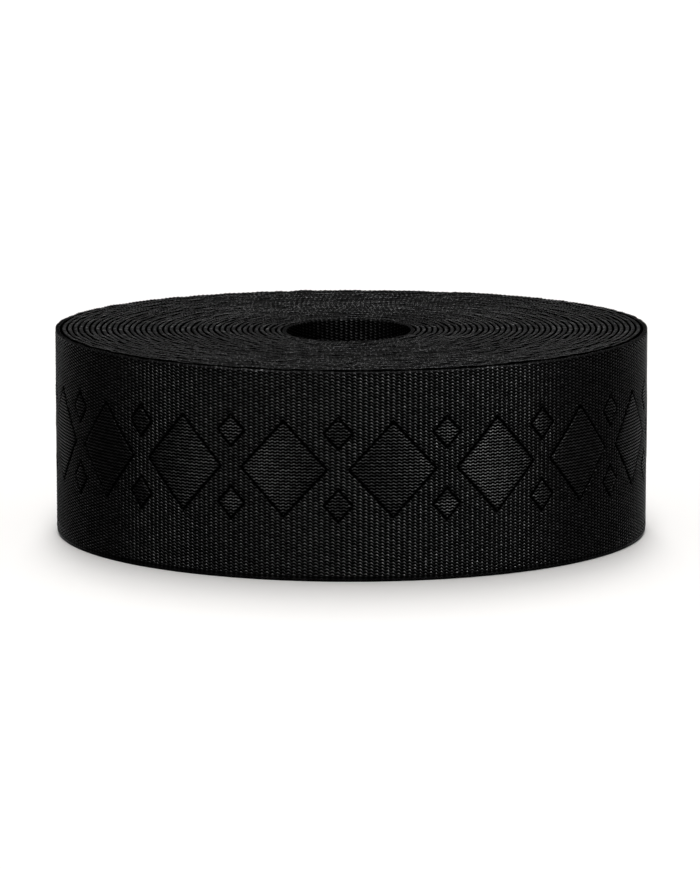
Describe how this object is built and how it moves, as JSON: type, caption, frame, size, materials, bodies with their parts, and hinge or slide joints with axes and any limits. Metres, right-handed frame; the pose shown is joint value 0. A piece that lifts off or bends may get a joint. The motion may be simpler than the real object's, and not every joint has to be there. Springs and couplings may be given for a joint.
{
  "type": "roll of webbing",
  "caption": "Flat woven polyester webbing wound edge to edge into a round roll with an open centre, lying flat on one side.",
  "frame": {"origin": "on the winding axis, in the plane that the roll rests on", "axes": "+Z along the winding axis, up from the underside; -Y towards the front, with the webbing's outer end at the back"},
  "size_m": [0.1473, 0.1466, 0.05],
  "materials": {
    "webbing": "black woven polyester with a soft sheen on the floats and matt edges"
  },
  "bodies": {
    "root": {"webbing_roll": "webbing"}
  },
  "joints": []
}
